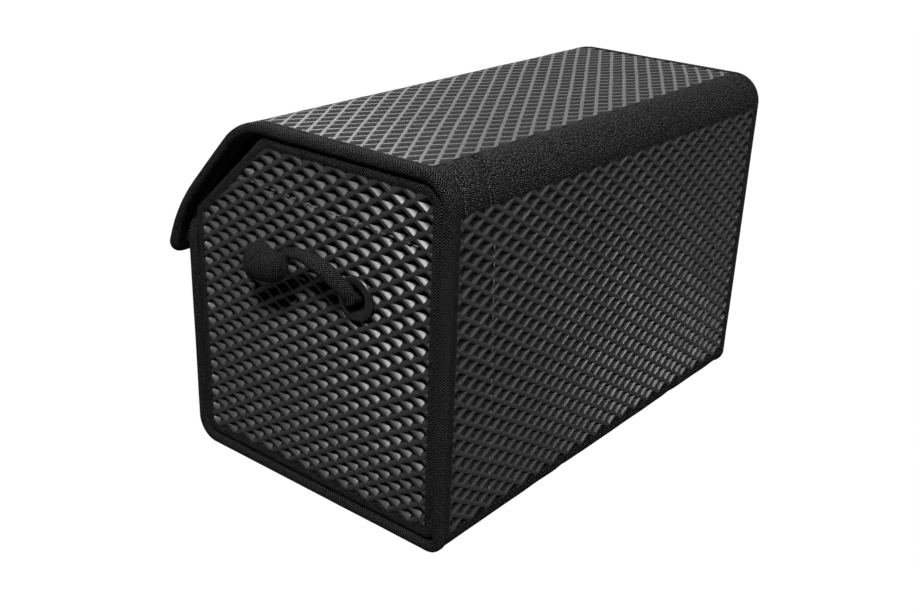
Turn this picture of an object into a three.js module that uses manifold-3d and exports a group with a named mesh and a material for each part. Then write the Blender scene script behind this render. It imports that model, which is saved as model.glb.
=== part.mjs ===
// Car trunk organizer: a soft box of cellular foam sheet with taped edges, a lid on a cloth
// hinge and a webbing handle at each end. Millimetres, +X along the box, +Y to the hinge side.
// The floor, front, rear and lid are stretches of one strip. The strip's outer line is a curve
// in the YZ plane, and every place on the strip is x, the way along the curve, and a depth.

import * as THREE from 'three';
import { mergeVertices } from 'three/addons/utils/BufferGeometryUtils.js';
import Module from 'manifold-3d';

const wasm = await Module();
wasm.setup();

// Box
const length = 480;
const depth = 288;
const height = 310;
const frontDrop = 98;
const frontCornerRadius = 22;
const rearCornerRadius = 14;
const hingeCornerRadius = 28;

// Lid fold and flap
const foldSetback = 95;
const foldRadius = 60;
const foldAngle = THREE.MathUtils.degToRad(47.3);
const slopeLength = 62;
const flapRadius = 170;
const flapAngle = THREE.MathUtils.degToRad(28);

// Foam sheet and its cells
const sheet = 10;
const cellLength = 34;
const cellHeight = 21.5;
const cellDepth = 6;

// Edge binding tape
const tape = 1.5;
const boundEdge = 9;
const tapeLeg = 13;
const edgeBevel = 1.8;

// End panels
const endInset = 3;
const endTapeLeg = 9;
const endRearRadius = 10;
const endSlopeRadius = 12;
const endShoulderDrop = 88;

// Cloth bands
const cloth = 2;
const clothDrop = 0.8;
const hingeBandBelow = 7;
const bottomBandReach = 4;

// Handles
const eyeletSpacing = 105;
const eyeletMiddle = 144;
const eyeletHeight = 194;
const eyeletBore = 20;
const eyeletNeck = 24;
const eyeletFlange = 37;
const flangeThickness = 2.6;
const washerFlange = 33;
const washerThickness = 2;
const strapWidth = 35;
const strapThickness = 2.4;
const rolledWidth = 16;
const rolledThickness = 8;
const strapStand = 22;
const strapRise = 22;
const stopWidth = 34;
const stopThickness = 7;
const stopLength = 7;

// Closure strips
const closureLength = 300;
const closureWidth = 30;
const closureThickness = 1.6;
const hookFromTip = 15;
const loopFromTop = 15;

// Fits
const clearance = 0.3;
const chordError = 0.08;

// Counts of steps
const foamCornerSteps = 4;
const tapeCornerSteps = 6;
const ringSteps = 20;

// Outer line of the strip: lengths and turns from the front panel's top edge, down the front,
// under the floor, up the rear and over the lid to the tip of the flap.
const quarter = Math.PI / 2;
const frontHeight = height - frontDrop;
const stretches = [
  { name: 'front', run: frontHeight - frontCornerRadius },
  { name: 'frontCorner', radius: frontCornerRadius, turn: quarter },
  { name: 'floor', run: depth - frontCornerRadius - rearCornerRadius },
  { name: 'rearCorner', radius: rearCornerRadius, turn: quarter },
  { name: 'rear', run: height - rearCornerRadius - hingeCornerRadius },
  { name: 'hingeCorner', radius: hingeCornerRadius, turn: quarter },
  { name: 'lidTop', run: depth - hingeCornerRadius - foldSetback },
  { name: 'fold', radius: foldRadius, turn: foldAngle },
  { name: 'slope', run: slopeLength },
  { name: 'flap', radius: flapRadius, turn: flapAngle },
];

// Walks the stretches once, starting down the front panel. A heading of 0 is along +Y.
const line = [];
let walked = 0;
let pen = new THREE.Vector2(0, frontHeight);
let heading = -quarter;
for (const stretch of stretches) {
  const turn = stretch.turn ?? 0;
  const run = stretch.run ?? stretch.radius * turn;
  const part = { ...stretch, from: walked, to: walked + run, start: pen, heading, turn };
  line.push(part);
  pen = along(part, run);
  heading += turn;
  walked += run;
}

function along(part, run) {
  const ahead = new THREE.Vector2(Math.cos(part.heading), Math.sin(part.heading));
  if (part.turn === 0) {
    return part.start.clone().addScaledVector(ahead, run);
  }
  const inward = new THREE.Vector2(-ahead.y, ahead.x);
  const centre = part.start.clone().addScaledVector(inward, part.radius);
  const swept = run / part.radius;
  return part.start.clone().rotateAround(centre, swept);
}

const at = Object.fromEntries(line.map((part) => [part.name, part]));
const tip = at.flap.to;

// The model's origin is under the middle of its box, so the flap's overhang moves the strip back.
const overhang = -along(at.flap, tip - at.flap.from - edgeBevel).x;
const frontY = (overhang - depth) / 2;

function place(x, s, into = 0) {
  const part = line.find((candidate) => s <= candidate.to) ?? line[line.length - 1];
  const run = s - part.from;
  const point = along(part, run);
  const angle = part.heading + (part.turn === 0 ? 0 : run / part.radius);
  const y = frontY + point.x - Math.sin(angle) * into;
  const z = point.y + Math.cos(angle) * into;
  return new THREE.Vector3(x, y, z);
}

// Count of chords that keep within the chord error of an arc.
function chords(radius, turn) {
  return Math.ceil(turn / (2 * Math.acos(1 - chordError / radius)));
}

// Places along the strip where a straight chord would leave the curve, between two limits.
function stops(from, to) {
  const found = [from];
  for (const part of line) {
    const steps = part.turn === 0 ? 1 : chords(part.radius, part.turn);
    for (let i = 0; i <= steps; i++) {
      const s = part.from + ((part.to - part.from) * i) / steps;
      if (s > found[found.length - 1] + 0.5 && s < to - 0.5) {
        found.push(s);
      }
    }
  }
  found.push(to);
  return found;
}

// Turns a list of triangles into one closed geometry with its faces pointing out.
function closed(triangles) {
  const soup = new THREE.BufferGeometry().setFromPoints(triangles.flat());
  const merged = mergeVertices(soup, 1e-4);
  const points = merged.getAttribute('position');
  const index = merged.getIndex().array;
  const kept = [];
  let volume = 0;
  const [a, b, c] = [new THREE.Vector3(), new THREE.Vector3(), new THREE.Vector3()];
  for (let i = 0; i < index.length; i += 3) {
    const [p, q, r] = [index[i], index[i + 1], index[i + 2]];
    if (p === q || q === r || r === p) {
      continue;
    }
    kept.push([p, q, r]);
    a.fromBufferAttribute(points, p);
    b.fromBufferAttribute(points, q);
    c.fromBufferAttribute(points, r);
    volume += a.dot(b.cross(c));
  }
  const order = volume > 0 ? kept : kept.map(([p, q, r]) => [p, r, q]);
  merged.setIndex(order.flat());
  merged.computeVertexNormals();
  return merged;
}

const turned = (triangles) => triangles.map(([a, b, c]) => [a, c, b]);

// Joins two chains of points that run the same way by a band of triangles.
function zip(first, second, measure) {
  const triangles = [];
  let i = 0;
  let j = 0;
  while (i < first.length - 1 || j < second.length - 1) {
    const stepFirst = j === second.length - 1
      || (i < first.length - 1 && measure(first[i + 1]) <= measure(second[j + 1]));
    if (stepFirst) {
      triangles.push([first[i], second[j], first[i + 1]]);
      i += 1;
    } else {
      triangles.push([first[i], second[j], second[j + 1]]);
      j += 1;
    }
  }
  return triangles;
}

// Rows of points as triangles. Between equal rows the diagonals alternate, so that they follow
// the cells' ribs, and between a fine row and a coarse one a band of triangles joins them.
function gridFaces(rows) {
  const triangles = [];
  for (let n = 0; n < rows.length - 1; n++) {
    if (rows[n].length !== rows[n + 1].length) {
      triangles.push(...turned(zip(rows[n], rows[n + 1], (p) => p.x)));
      continue;
    }
    for (let m = 0; m < rows[n].length - 1; m++) {
      const [a, b] = [rows[n][m], rows[n][m + 1]];
      const [c, d] = [rows[n + 1][m], rows[n + 1][m + 1]];
      if ((m + n) % 2 === 0) {
        triangles.push([a, b, c], [b, d, c]);
      } else {
        triangles.push([a, b, d], [a, d, c]);
      }
    }
  }
  return triangles;
}

// Foam panel on the strip between two places. Where the tape grips it, the foam is pressed
// thinner, and the free corners are round. Cells are pits between sharp ribs.
const pressOuter = tape + clearance;
const pressInner = sheet - boundEdge + tape + clearance;
const foamHalf = length / 2 - tape - clearance;
const pressedHalf = length / 2 - tapeLeg - clearance;
const grip = foamHalf - pressedHalf;
const stepLean = 0.2;
const fullHalf = pressedHalf - stepLean;
const springBack = 1;

// Each row and column of points has its place. The ones with m and n carry the cells, and the
// pressed ones lie under the tape.
function foamPanel({ from, to, cellsFrom, cellsTo, startBound = false, endBound = false }) {
  const start = startBound ? from + tape + clearance : from;
  const end = endBound ? to - tape - clearance : to;
  const columns = 2 * Math.floor(fullHalf / cellLength);
  const rowsOfCells = Math.floor((cellsTo - cellsFrom) / (cellHeight / 2));
  const firstRow = (cellsFrom + cellsTo - rowsOfCells * (cellHeight / 2)) / 2;

  function edgeAt(s) {
    const nearStart = startBound ? start + grip - s : 0;
    const nearEnd = endBound ? s - (end - grip) : 0;
    const near = THREE.MathUtils.clamp(Math.max(nearStart, nearEnd), 0, grip);
    return pressedHalf + Math.sqrt(grip * grip - near * near);
  }

  const fieldX = [];
  for (let m = -columns; m <= columns; m++) {
    fieldX.push({ x: (m * cellLength) / 2, m });
  }
  const side = [{ edge: true, pressed: true }, { x: pressedHalf, pressed: true }, { x: fullHalf }];
  const mirrored = side.map((spot) => ({ ...spot, x: -spot.x, negative: true }));
  const innerSide = side.map((spot) => (spot.edge ? spot : { ...spot, x: spot.x - springBack }));
  const innerMirrored = innerSide.map((spot) => ({ ...spot, x: -spot.x, negative: true }));
  const plainX = [...innerMirrored, ...innerSide.toReversed()];
  const fineX = [...mirrored, ...fieldX, ...side.toReversed()];
  const coarseX = [...mirrored, ...side.toReversed()];

  const ends = [];
  for (let i = 0; i <= foamCornerSteps; i++) {
    ends.push(grip * Math.sin((i * quarter) / foamCornerSteps));
  }
  const startLines = startBound
    ? ends.toReversed().map((reach) => ({ s: start + grip - reach, pressed: true })) : [];
  const endLines = endBound ? ends.map((reach) => ({ s: end - grip + reach, pressed: true })) : [];
  const bodyFrom = startBound ? start + grip : start;
  const bodyTo = endBound ? end - grip : end;
  const fieldS = [];
  for (let n = 0; n <= rowsOfCells; n++) {
    fieldS.push({ s: firstRow + (n * cellHeight) / 2, n });
  }
  const lastRow = fieldS[fieldS.length - 1].s;
  const before = stops(bodyFrom, firstRow).slice(0, -1).map((s) => ({ s }));
  const after = stops(lastRow, bodyTo).slice(1).map((s) => ({ s }));
  const fineS = [...startLines, ...before, ...fieldS, ...after, ...endLines];
  const plainS = [...startLines, ...stops(bodyFrom, bodyTo).map((s) => ({ s })), ...endLines];

  function isPit(column, row, m, n) {
    const inside = Math.abs(column.m) < columns && row.n > 0 && row.n < rowsOfCells;
    return inside && (m + n) % 2 === 0;
  }
  function point(column, row, into) {
    const x = column.edge ? edgeAt(row.s) * (column.negative ? -1 : 1) : column.x;
    return place(x, row.s, into);
  }

  const columnsOf = (row) => (row.n === undefined ? coarseX : fineX);
  const outer = fineS.map((row, n) => columnsOf(row).map((column, m) => {
    const pressed = column.pressed || row.pressed;
    return point(column, row, pressed ? pressOuter : isPit(column, row, m, n) ? cellDepth : 0);
  }));
  const inner = plainS.map((row) => plainX.map((column) => {
    const pressed = column.pressed || row.pressed;
    return point(column, row, pressed ? sheet - pressInner : sheet);
  }));
  const sideWall = (m) => {
    const reach = new Map();
    outer.forEach((row, n) => reach.set(row.at(m), fineS[n].s));
    inner.forEach((row, n) => reach.set(row.at(m), plainS[n].s));
    const chain = (rows) => rows.map((row) => row.at(m));
    return zip(chain(outer), chain(inner), (p) => reach.get(p));
  };
  const endWall = (n) => zip(outer.at(n), inner.at(n), (p) => p.x);
  return closed([
    ...gridFaces(outer), ...turned(gridFaces(inner)),
    ...turned(sideWall(0)), ...sideWall(-1),
    ...endWall(0), ...turned(endWall(-1)),
  ]);
}

// Thin sheet that follows the strip: a cloth band or a closure strip.
function band({ from, to, half, top, thickness }) {
  const under = top + thickness;
  return sweep(stops(from, to).map((s) => [
    place(-half, s, top), place(half, s, top), place(half, s, under), place(-half, s, under),
  ]), false);
}

// Skin over a row of rings with equal counts of points; open rows are capped at both ends.
function sweep(rings, loop) {
  const triangles = [];
  const count = rings[0].length;
  const last = loop ? rings.length : rings.length - 1;
  for (let n = 0; n < last; n++) {
    const [here, next] = [rings[n], rings[(n + 1) % rings.length]];
    for (let m = 0; m < count; m++) {
      const k = (m + 1) % count;
      triangles.push([here[m], here[k], next[k]], [here[m], next[k], next[m]]);
    }
  }
  if (!loop) {
    const [first, final] = [rings[0], rings[rings.length - 1]];
    for (const [i, j, k] of capFaces(first)) {
      triangles.push([first[i], first[k], first[j]]);
      triangles.push([final[i], final[j], final[k]]);
    }
  }
  return closed(triangles);
}

// Triangles over a flat ring, found in the plane that it lies in and wound as the ring is.
function capFaces(ring) {
  const normal = new THREE.Vector3();
  for (let i = 0; i < ring.length; i++) {
    const [p, q] = [ring[i], ring[(i + 1) % ring.length]];
    normal.add(new THREE.Vector3().crossVectors(p, q));
  }
  normal.normalize();
  const across = new THREE.Vector3().subVectors(ring[1], ring[0]).normalize();
  const up = new THREE.Vector3().crossVectors(normal, across);
  const flat = ring.map((p) => new THREE.Vector2(p.dot(across), p.dot(up)));
  return THREE.ShapeUtils.triangulateShape(flat, []);
}

// Section of the tape folded over an edge: reach in from the edge, and depth from outside.
function tapeSection(leg) {
  return [
    [leg, 0], [edgeBevel, 0], [0, edgeBevel],
    [0, boundEdge - edgeBevel], [edgeBevel, boundEdge], [leg, boundEdge],
    [leg, boundEdge - tape], [tape, boundEdge - tape], [tape, tape], [leg, tape],
  ];
}

// Edge line of the strip for the tape, as flat places with their inward directions.
function edgeRun(side, from, to) {
  return stops(from, to).map((s) => ({ x: (side * length) / 2, s, inX: -side, inS: 0 }));
}

function edgeCorner(side, s, ahead) {
  const radius = tapeLeg + clearance;
  const spots = [];
  for (let i = 0; i <= tapeCornerSteps; i++) {
    const angle = (i * quarter) / tapeCornerSteps;
    const [c, d] = [Math.cos(angle), Math.sin(angle)];
    spots.push({
      x: side * (length / 2 - radius + radius * c),
      s: s - ahead * (radius - radius * d),
      inX: -side * c,
      inS: -ahead * d,
    });
  }
  return spots;
}

function stripTape(spots) {
  const section = tapeSection(tapeLeg);
  return sweep(spots.map((spot) => section.map(
    ([reach, into]) => place(spot.x + spot.inX * reach, spot.s + spot.inS * reach, into))), false);
}

// Tape in one piece along one side, round two corners and back along the other side.
function bindingAround(openEnd, boundEnd) {
  const ahead = Math.sign(boundEnd - openEnd);
  const turnAt = boundEnd - ahead * (tapeLeg + clearance);
  const run = (side) => {
    const spots = edgeRun(side, Math.min(openEnd, turnAt), Math.max(openEnd, turnAt));
    return ahead > 0 ? spots : spots.toReversed();
  };
  const right = [...run(1).slice(0, -1), ...edgeCorner(1, boundEnd, ahead)];
  const left = [...run(-1).slice(0, -1), ...edgeCorner(-1, boundEnd, ahead)];
  return stripTape([...right, ...left.toReversed()]);
}

// End panel: five-sided, with its top-front corner cut off along a slope.
const endLow = boundEdge + clearance;
const endTop = height - boundEdge - clearance;
const endBack = depth - boundEdge - clearance;
const endCorners = [
  { y: endLow, z: endLow, radius: frontCornerRadius - endLow },
  { y: endBack, z: endLow, radius: endRearRadius },
  { y: endBack, z: endTop, radius: hingeCornerRadius - endLow },
  { y: foldSetback, z: endTop, radius: endSlopeRadius },
  { y: endLow, z: height - endShoulderDrop, radius: endSlopeRadius },
];

// Round outline of the end panel, as places with inward directions, moved in by an inset.
function endOutline(inset) {
  const spots = [];
  endCorners.forEach((corner, i) => {
    const previous = endCorners.at(i - 1);
    const next = endCorners[(i + 1) % endCorners.length];
    const here = new THREE.Vector2(corner.y, corner.z);
    const comes = here.clone().sub(new THREE.Vector2(previous.y, previous.z)).normalize();
    const goes = new THREE.Vector2(next.y, next.z).sub(here).normalize();
    const bend = comes.angleTo(goes);
    const setback = corner.radius * Math.tan(bend / 2);
    const first = here.clone().addScaledVector(comes, -setback);
    const inward = new THREE.Vector2(-comes.y, comes.x);
    const centre = first.clone().addScaledVector(inward, corner.radius);
    const steps = chords(corner.radius, bend);
    for (let k = 0; k <= steps; k++) {
      const direction = inward.clone().rotateAround(new THREE.Vector2(), (bend * k) / steps);
      const spot = centre.clone().addScaledVector(direction, inset - corner.radius);
      spots.push({ y: spot.x, z: spot.y, inY: direction.x, inZ: direction.y });
    }
  });
  return spots;
}

const endFace = length / 2 - endInset;
const endSpot = (side, y, z, into) => new THREE.Vector3(side * (endFace - into), frontY + y, z);

function endTape(side) {
  const section = tapeSection(endTapeLeg);
  const rings = endOutline(0).map((spot) => section.map(
    ([reach, into]) => endSpot(side, spot.y + spot.inY * reach, spot.z + spot.inZ * reach, into)));
  return sweep(rings, true);
}

// Prism of the end panel's outline between two depths.
function endSlab(side, inset, from, to) {
  const outline = endOutline(inset);
  const ring = (into) => outline.map((spot) => endSpot(side, spot.y, spot.z, into));
  return sweep([ring(from), ring(to)], false);
}

// Plate of cells larger than the end panel, with flat ground under it.
function endCells(side) {
  const half = { y: cellLength / 2, z: cellHeight / 2 };
  const columns = Math.ceil(depth / half.y) + 1;
  const rows = Math.ceil(height / half.z) + 1;
  const grid = [];
  for (let n = -1; n <= rows; n++) {
    const row = [];
    for (let m = -1; m <= columns; m++) {
      const border = m === -1 || n === -1 || m === columns || n === rows;
      const pit = !border && (m + n) % 2 === 0;
      row.push(endSpot(side, m * half.y, n * half.z, pit ? cellDepth : 0));
    }
    grid.push(row);
  }
  const [low, high] = [grid[0], grid.at(-1)];
  const back = (p) => new THREE.Vector3(side * (endFace - sheet), p.y, p.z);
  const ground = [low[0], low.at(-1), high.at(-1), high[0]].map(back);
  const wallY = (row, a, b) => zip(row, [a, b], (p) => p.y);
  const wallZ = (m, a, b) => zip(grid.map((row) => row.at(m)), [a, b], (p) => p.z);
  return closed([
    ...gridFaces(grid),
    [ground[0], ground[2], ground[1]], [ground[0], ground[3], ground[2]],
    ...wallY(low, ground[0], ground[1]), ...turned(wallY(high, ground[3], ground[2])),
    ...turned(wallZ(0, ground[0], ground[3])), ...wallZ(-1, ground[1], ground[2]),
  ]);
}

function asSolid(geometry) {
  const bare = new THREE.BufferGeometry();
  bare.setAttribute('position', geometry.getAttribute('position'));
  bare.setIndex(geometry.getIndex() ?? undefined);
  const merged = mergeVertices(bare, 1e-4);
  return new wasm.Manifold(new wasm.Mesh({
    numProp: 3,
    vertProperties: new Float32Array(merged.getAttribute('position').array),
    triVerts: new Uint32Array(merged.getIndex().array),
  }));
}

function asGeometry(solid) {
  const mesh = solid.getMesh();
  const geometry = new THREE.BufferGeometry();
  geometry.setAttribute('position', new THREE.BufferAttribute(new Float32Array(mesh.vertProperties), 3));
  geometry.setIndex([...mesh.triVerts]);
  geometry.computeVertexNormals();
  return geometry;
}

function endPanel(side) {
  const core = asSolid(endSlab(side, endTapeLeg + clearance, -sheet, 2 * sheet));
  const rim = asSolid(endSlab(side, tape + clearance, pressOuter, sheet - pressInner));
  const cells = asSolid(endCells(side)).intersect(core);
  const holes = eyeletPlaces.map((y) => {
    const hole = new THREE.CylinderGeometry(eyeletHole / 2, eyeletHole / 2, 4 * sheet, ringSteps);
    hole.rotateZ(quarter);
    const middle = endSpot(side, y, eyeletHeight, sheet / 2);
    hole.translate(middle.x, middle.y, middle.z);
    return asSolid(hole);
  });
  const panel = holes.reduce((rest, hole) => rest.subtract(hole), cells.add(rim));
  return asGeometry(panel);
}

// Eyelets: a flanged ring through the end panel, and a washer on its neck inside the box.
const eyeletHole = eyeletNeck + 2 * clearance;
const eyeletPlaces = [eyeletMiddle - eyeletSpacing / 2, eyeletMiddle + eyeletSpacing / 2];
const neckDepth = sheet + clearance + washerThickness;

// Ring about the X axis from a closed section of radius and depth.
function ring(side, y, section) {
  const rings = [];
  for (let i = 0; i < ringSteps; i++) {
    const angle = (i * 4 * quarter) / ringSteps;
    rings.push(section.map(([radius, into]) => endSpot(
      side, y + radius * Math.cos(angle), eyeletHeight + radius * Math.sin(angle), into)));
  }
  return sweep(rings, true);
}

function eyelet(side, y) {
  const [bore, neck, flange] = [eyeletBore / 2, eyeletNeck / 2, eyeletFlange / 2];
  const back = -clearance;
  const face = back - flangeThickness;
  const edge = flangeThickness / 2;
  return ring(side, y, [
    [bore, neckDepth], [bore, face + edge], [bore + edge, face], [flange - edge, face],
    [flange, face + edge], [flange, back], [neck, back], [neck, neckDepth],
  ]);
}

function washer(side, y) {
  const [hole, flange] = [eyeletNeck / 2 + clearance, washerFlange / 2];
  const [top, low] = [sheet + clearance, neckDepth + clearance];
  return ring(side, y, [[hole, top], [flange, top], [flange, low], [hole, low]]);
}

// Handle: webbing rolled up through both eyelets, with a sewn stop behind each washer. Outside
// it opens to a flat lobe at the front and runs on rolled to the rear. A station is a share of
// the half span, of the stand and of the rise, how far the webbing is rolled, and its lean.
const strapStations = [
  [-1.00, 0.05, 0.00, 1.00, 90],
  [-1.00, 0.20, 0.00, 1.00, 90],
  [-0.98, 0.55, 0.08, 0.70, 90],
  [-0.90, 0.86, 0.22, 0.30, 90],
  [-0.72, 1.00, 0.36, 0.00, 90],
  [-0.45, 1.00, 0.48, 0.00, 90],
  [-0.22, 0.95, 0.72, 0.35, 95],
  [-0.05, 0.88, 0.92, 0.80, 100],
  [0.20, 0.80, 1.00, 1.00, 100],
  [0.45, 0.74, 0.95, 1.00, 100],
  [0.70, 0.66, 0.74, 1.00, 100],
  [0.87, 0.56, 0.44, 1.00, 95],
  [0.98, 0.38, 0.10, 0.95, 90],
  [1.00, 0.20, 0.00, 1.00, 90],
  [1.00, 0.05, 0.00, 1.00, 90],
];

function handle(side) {
  const reach = eyeletSpacing / 2;
  const seat = -(neckDepth + 2 * clearance);
  const shoulder = 0.1;
  const tail = (end) => [
    { span: end * reach, stand: seat - stopLength, width: stopWidth, thick: stopThickness },
    { span: end * reach, stand: seat, width: stopWidth, thick: stopThickness },
    { span: end * reach, stand: seat + shoulder, width: rolledWidth, thick: rolledThickness },
  ];
  const loop = strapStations.map(([span, stand, rise, rolled, lean]) => ({
    span: span * reach,
    stand: stand * strapStand,
    rise: rise * strapRise,
    width: THREE.MathUtils.lerp(strapWidth, rolledWidth, rolled),
    thick: THREE.MathUtils.lerp(strapThickness, rolledThickness, rolled),
    lean,
  }));
  const stations = [...tail(-1), ...loop, ...tail(1).toReversed()];
  const spots = stations.map(({ span, stand, rise = 0 }) => endSpot(
    side, eyeletMiddle + span, eyeletHeight + rise, -stand));
  const rings = stations.map(({ width, thick, lean = 90 }, i) => {
    const before = spots[Math.max(i - 1, 0)];
    const after = spots[Math.min(i + 1, spots.length - 1)];
    const ahead = after.clone().sub(before).normalize();
    const angle = THREE.MathUtils.degToRad(lean);
    const across = new THREE.Vector3(side * Math.cos(angle), 0, Math.sin(angle));
    across.addScaledVector(ahead, -across.dot(ahead)).normalize();
    const face = new THREE.Vector3().crossVectors(ahead, across);
    const corner = (u, v) => spots[i].clone()
      .addScaledVector(across, (u * width) / 2).addScaledVector(face, (v * thick) / 2);
    return [corner(-1, -1), corner(1, -1), corner(1, 1), corner(-1, 1)];
  });
  return sweep(rings, false);
}

// Finishes
function finish(color, roughness) {
  return new THREE.MeshStandardMaterial({ color, roughness, metalness: 0 });
}
const foam = () => finish(0x2b2c2e, 0.62);
const binding = () => finish(0x1c1c1e, 0.85);
const oxford = () => finish(0x19191b, 0.8);
const webbing = () => finish(0x202022, 0.85);
const plastic = () => finish(0x1a1a1b, 0.35);

const organizer = new THREE.Group();
organizer.name = 'trunk_organizer';

function add(name, geometry, material) {
  const mesh = new THREE.Mesh(geometry, material);
  mesh.name = name;
  organizer.add(mesh);
}

// Places on the strip where one piece ends and the next begins
const bottomBandFrom = at.rearCorner.from - bottomBandReach;
const bottomBandTo = at.rearCorner.to + bottomBandReach;
const hingeFrom = at.hingeCorner.from - hingeBandBelow;
const hingeTo = at.hingeCorner.to;
const bandHalf = pressedHalf;
const gap = clearance / 2;

add('base_panel', foamPanel({
  from: 0,
  to: bottomBandFrom - gap,
  cellsFrom: tapeLeg + clearance,
  cellsTo: at.frontCorner.from,
  startBound: true,
}), foam());
add('rear_panel', foamPanel({
  from: bottomBandTo + gap,
  to: hingeFrom - gap,
  cellsFrom: bottomBandTo + gap,
  cellsTo: hingeFrom - gap,
}), foam());
add('lid_panel', foamPanel({
  from: hingeTo + gap,
  to: tip,
  cellsFrom: hingeTo + gap,
  cellsTo: tip - tapeLeg - clearance,
  endBound: true,
}), foam());
add('bottom_band', band({
  from: bottomBandFrom + gap,
  to: bottomBandTo - gap,
  half: bandHalf,
  top: clothDrop,
  thickness: cloth,
}), oxford());
add('hinge_band', band({
  from: hingeFrom + gap,
  to: hingeTo - gap,
  half: bandHalf,
  top: clothDrop,
  thickness: cloth,
}), oxford());
add('body_binding', bindingAround(hingeFrom - gap, 0), binding());
add('lid_binding', bindingAround(hingeTo + gap, tip), binding());
for (const [name, side] of [['right', 1], ['left', -1]]) {
  const corner = edgeRun(side, hingeFrom + gap, hingeTo - gap);
  add(`${name}_hinge_binding`, stripTape(corner), binding());
  add(`${name}_end_panel`, endPanel(side), foam());
  add(`${name}_end_binding`, endTape(side), binding());
  ['front', 'rear'].forEach((where, i) => {
    add(`${name}_${where}_eyelet`, eyelet(side, eyeletPlaces[i]), plastic());
    add(`${name}_${where}_washer`, washer(side, eyeletPlaces[i]), plastic());
  });
  add(`${name}_handle`, handle(side), webbing());
}
add('lid_hook_strip', band({
  from: tip - hookFromTip - closureWidth,
  to: tip - hookFromTip,
  half: closureLength / 2,
  top: sheet + clearance,
  thickness: closureThickness,
}), oxford());
add('front_loop_strip', band({
  from: loopFromTop,
  to: loopFromTop + closureWidth,
  half: closureLength / 2,
  top: -clearance - closureThickness,
  thickness: closureThickness,
}), oxford());

export default organizer;
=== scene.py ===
# %% [markdown]
# A soft box for a car boot: 10 mm foam sheet pressed with small diamond cells, woven tape
# round every cut edge, a lid on a strip of cloth, and a webbing handle through two eyelets at
# each end. The solids of the CAD part give every place. Each visible piece is made here again
# with its real surface, and stands for its solid.

# %% Start
import math

import bpy
from mathutils import Matrix, Vector, noise


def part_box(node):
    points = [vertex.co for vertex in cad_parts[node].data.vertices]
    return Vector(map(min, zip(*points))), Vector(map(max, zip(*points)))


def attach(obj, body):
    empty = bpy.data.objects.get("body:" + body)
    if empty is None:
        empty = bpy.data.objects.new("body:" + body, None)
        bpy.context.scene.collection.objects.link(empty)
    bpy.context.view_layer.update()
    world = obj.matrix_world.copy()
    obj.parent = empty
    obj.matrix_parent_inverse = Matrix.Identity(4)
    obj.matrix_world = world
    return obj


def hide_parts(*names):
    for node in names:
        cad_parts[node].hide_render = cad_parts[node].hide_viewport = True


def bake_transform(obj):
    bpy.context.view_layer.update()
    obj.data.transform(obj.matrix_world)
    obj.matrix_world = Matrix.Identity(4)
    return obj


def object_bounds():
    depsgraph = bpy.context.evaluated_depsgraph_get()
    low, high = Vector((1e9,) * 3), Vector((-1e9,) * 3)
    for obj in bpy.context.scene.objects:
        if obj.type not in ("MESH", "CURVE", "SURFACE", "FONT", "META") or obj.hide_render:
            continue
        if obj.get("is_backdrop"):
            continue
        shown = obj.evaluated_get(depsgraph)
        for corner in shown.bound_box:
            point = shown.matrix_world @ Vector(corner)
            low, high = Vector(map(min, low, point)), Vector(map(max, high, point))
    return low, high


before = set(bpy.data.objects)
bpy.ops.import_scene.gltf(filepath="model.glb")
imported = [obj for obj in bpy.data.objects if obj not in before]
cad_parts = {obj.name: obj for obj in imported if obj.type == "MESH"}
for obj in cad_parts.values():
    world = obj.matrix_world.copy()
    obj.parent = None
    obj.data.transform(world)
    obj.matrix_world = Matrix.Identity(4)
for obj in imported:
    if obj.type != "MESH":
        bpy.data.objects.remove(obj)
cad_box = [list(corner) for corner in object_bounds()]
MM = 0.001
print("CAD box", cad_box)

# %% [markdown]
# The floor, the front, the rear and the lid are stretches of one strip of foam. In the real
# box they are sewn end to end. One outer line in the YZ plane carries them all, so a point is
# given by x, by the way s along that line and by the depth under the outer face. First come the
# measures of that line in millimetres: straight lengths, radii and angles.

# %% Measures of the strip
LENGTH = 480
DEPTH = 288
HEIGHT = 310
FRONT_HEIGHT = 212
FRONT_CORNER = 22
REAR_CORNER = 14
HINGE_CORNER = 28
FOLD_SETBACK = 95
FOLD_RADIUS = 60
FOLD_ANGLE = math.radians(47.3)
SLOPE = 62
FLAP_RADIUS = 170
FLAP_ANGLE = math.radians(28)
SHEET = 10
BAND_UNDER = 0.8
QUARTER = math.pi / 2

stretches = [
    ("front", FRONT_HEIGHT - FRONT_CORNER, 0),
    ("front_corner", FRONT_CORNER, QUARTER),
    ("floor", DEPTH - FRONT_CORNER - REAR_CORNER, 0),
    ("rear_corner", REAR_CORNER, QUARTER),
    ("rear", HEIGHT - REAR_CORNER - HINGE_CORNER, 0),
    ("hinge_corner", HINGE_CORNER, QUARTER),
    ("lid_top", DEPTH - HINGE_CORNER - FOLD_SETBACK, 0),
    ("fold", FOLD_RADIUS, FOLD_ANGLE),
    ("slope", SLOPE, 0),
    ("flap", FLAP_RADIUS, FLAP_ANGLE),
]
print("the strip has", len(stretches), "stretches")


# %% [markdown]
# A pen walks along the stretches, one after the other, and notes where each one starts. A
# stretch without a turn is straight. The line could be a curve object as well, but a formula
# gives the exact point and heading at any way along it.

# %% Outer line of the strip
def ahead_of(part, way):
    """Point after a way along one stretch, and the heading there."""
    name, start, y, z, heading, size, turn = part
    if turn == 0:
        return y + math.cos(heading) * way, z + math.sin(heading) * way, heading
    middle_y = y - math.sin(heading) * size
    middle_z = z + math.cos(heading) * size
    now = heading + way / size
    return middle_y + math.sin(now) * size, middle_z - math.cos(now) * size, now


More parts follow.
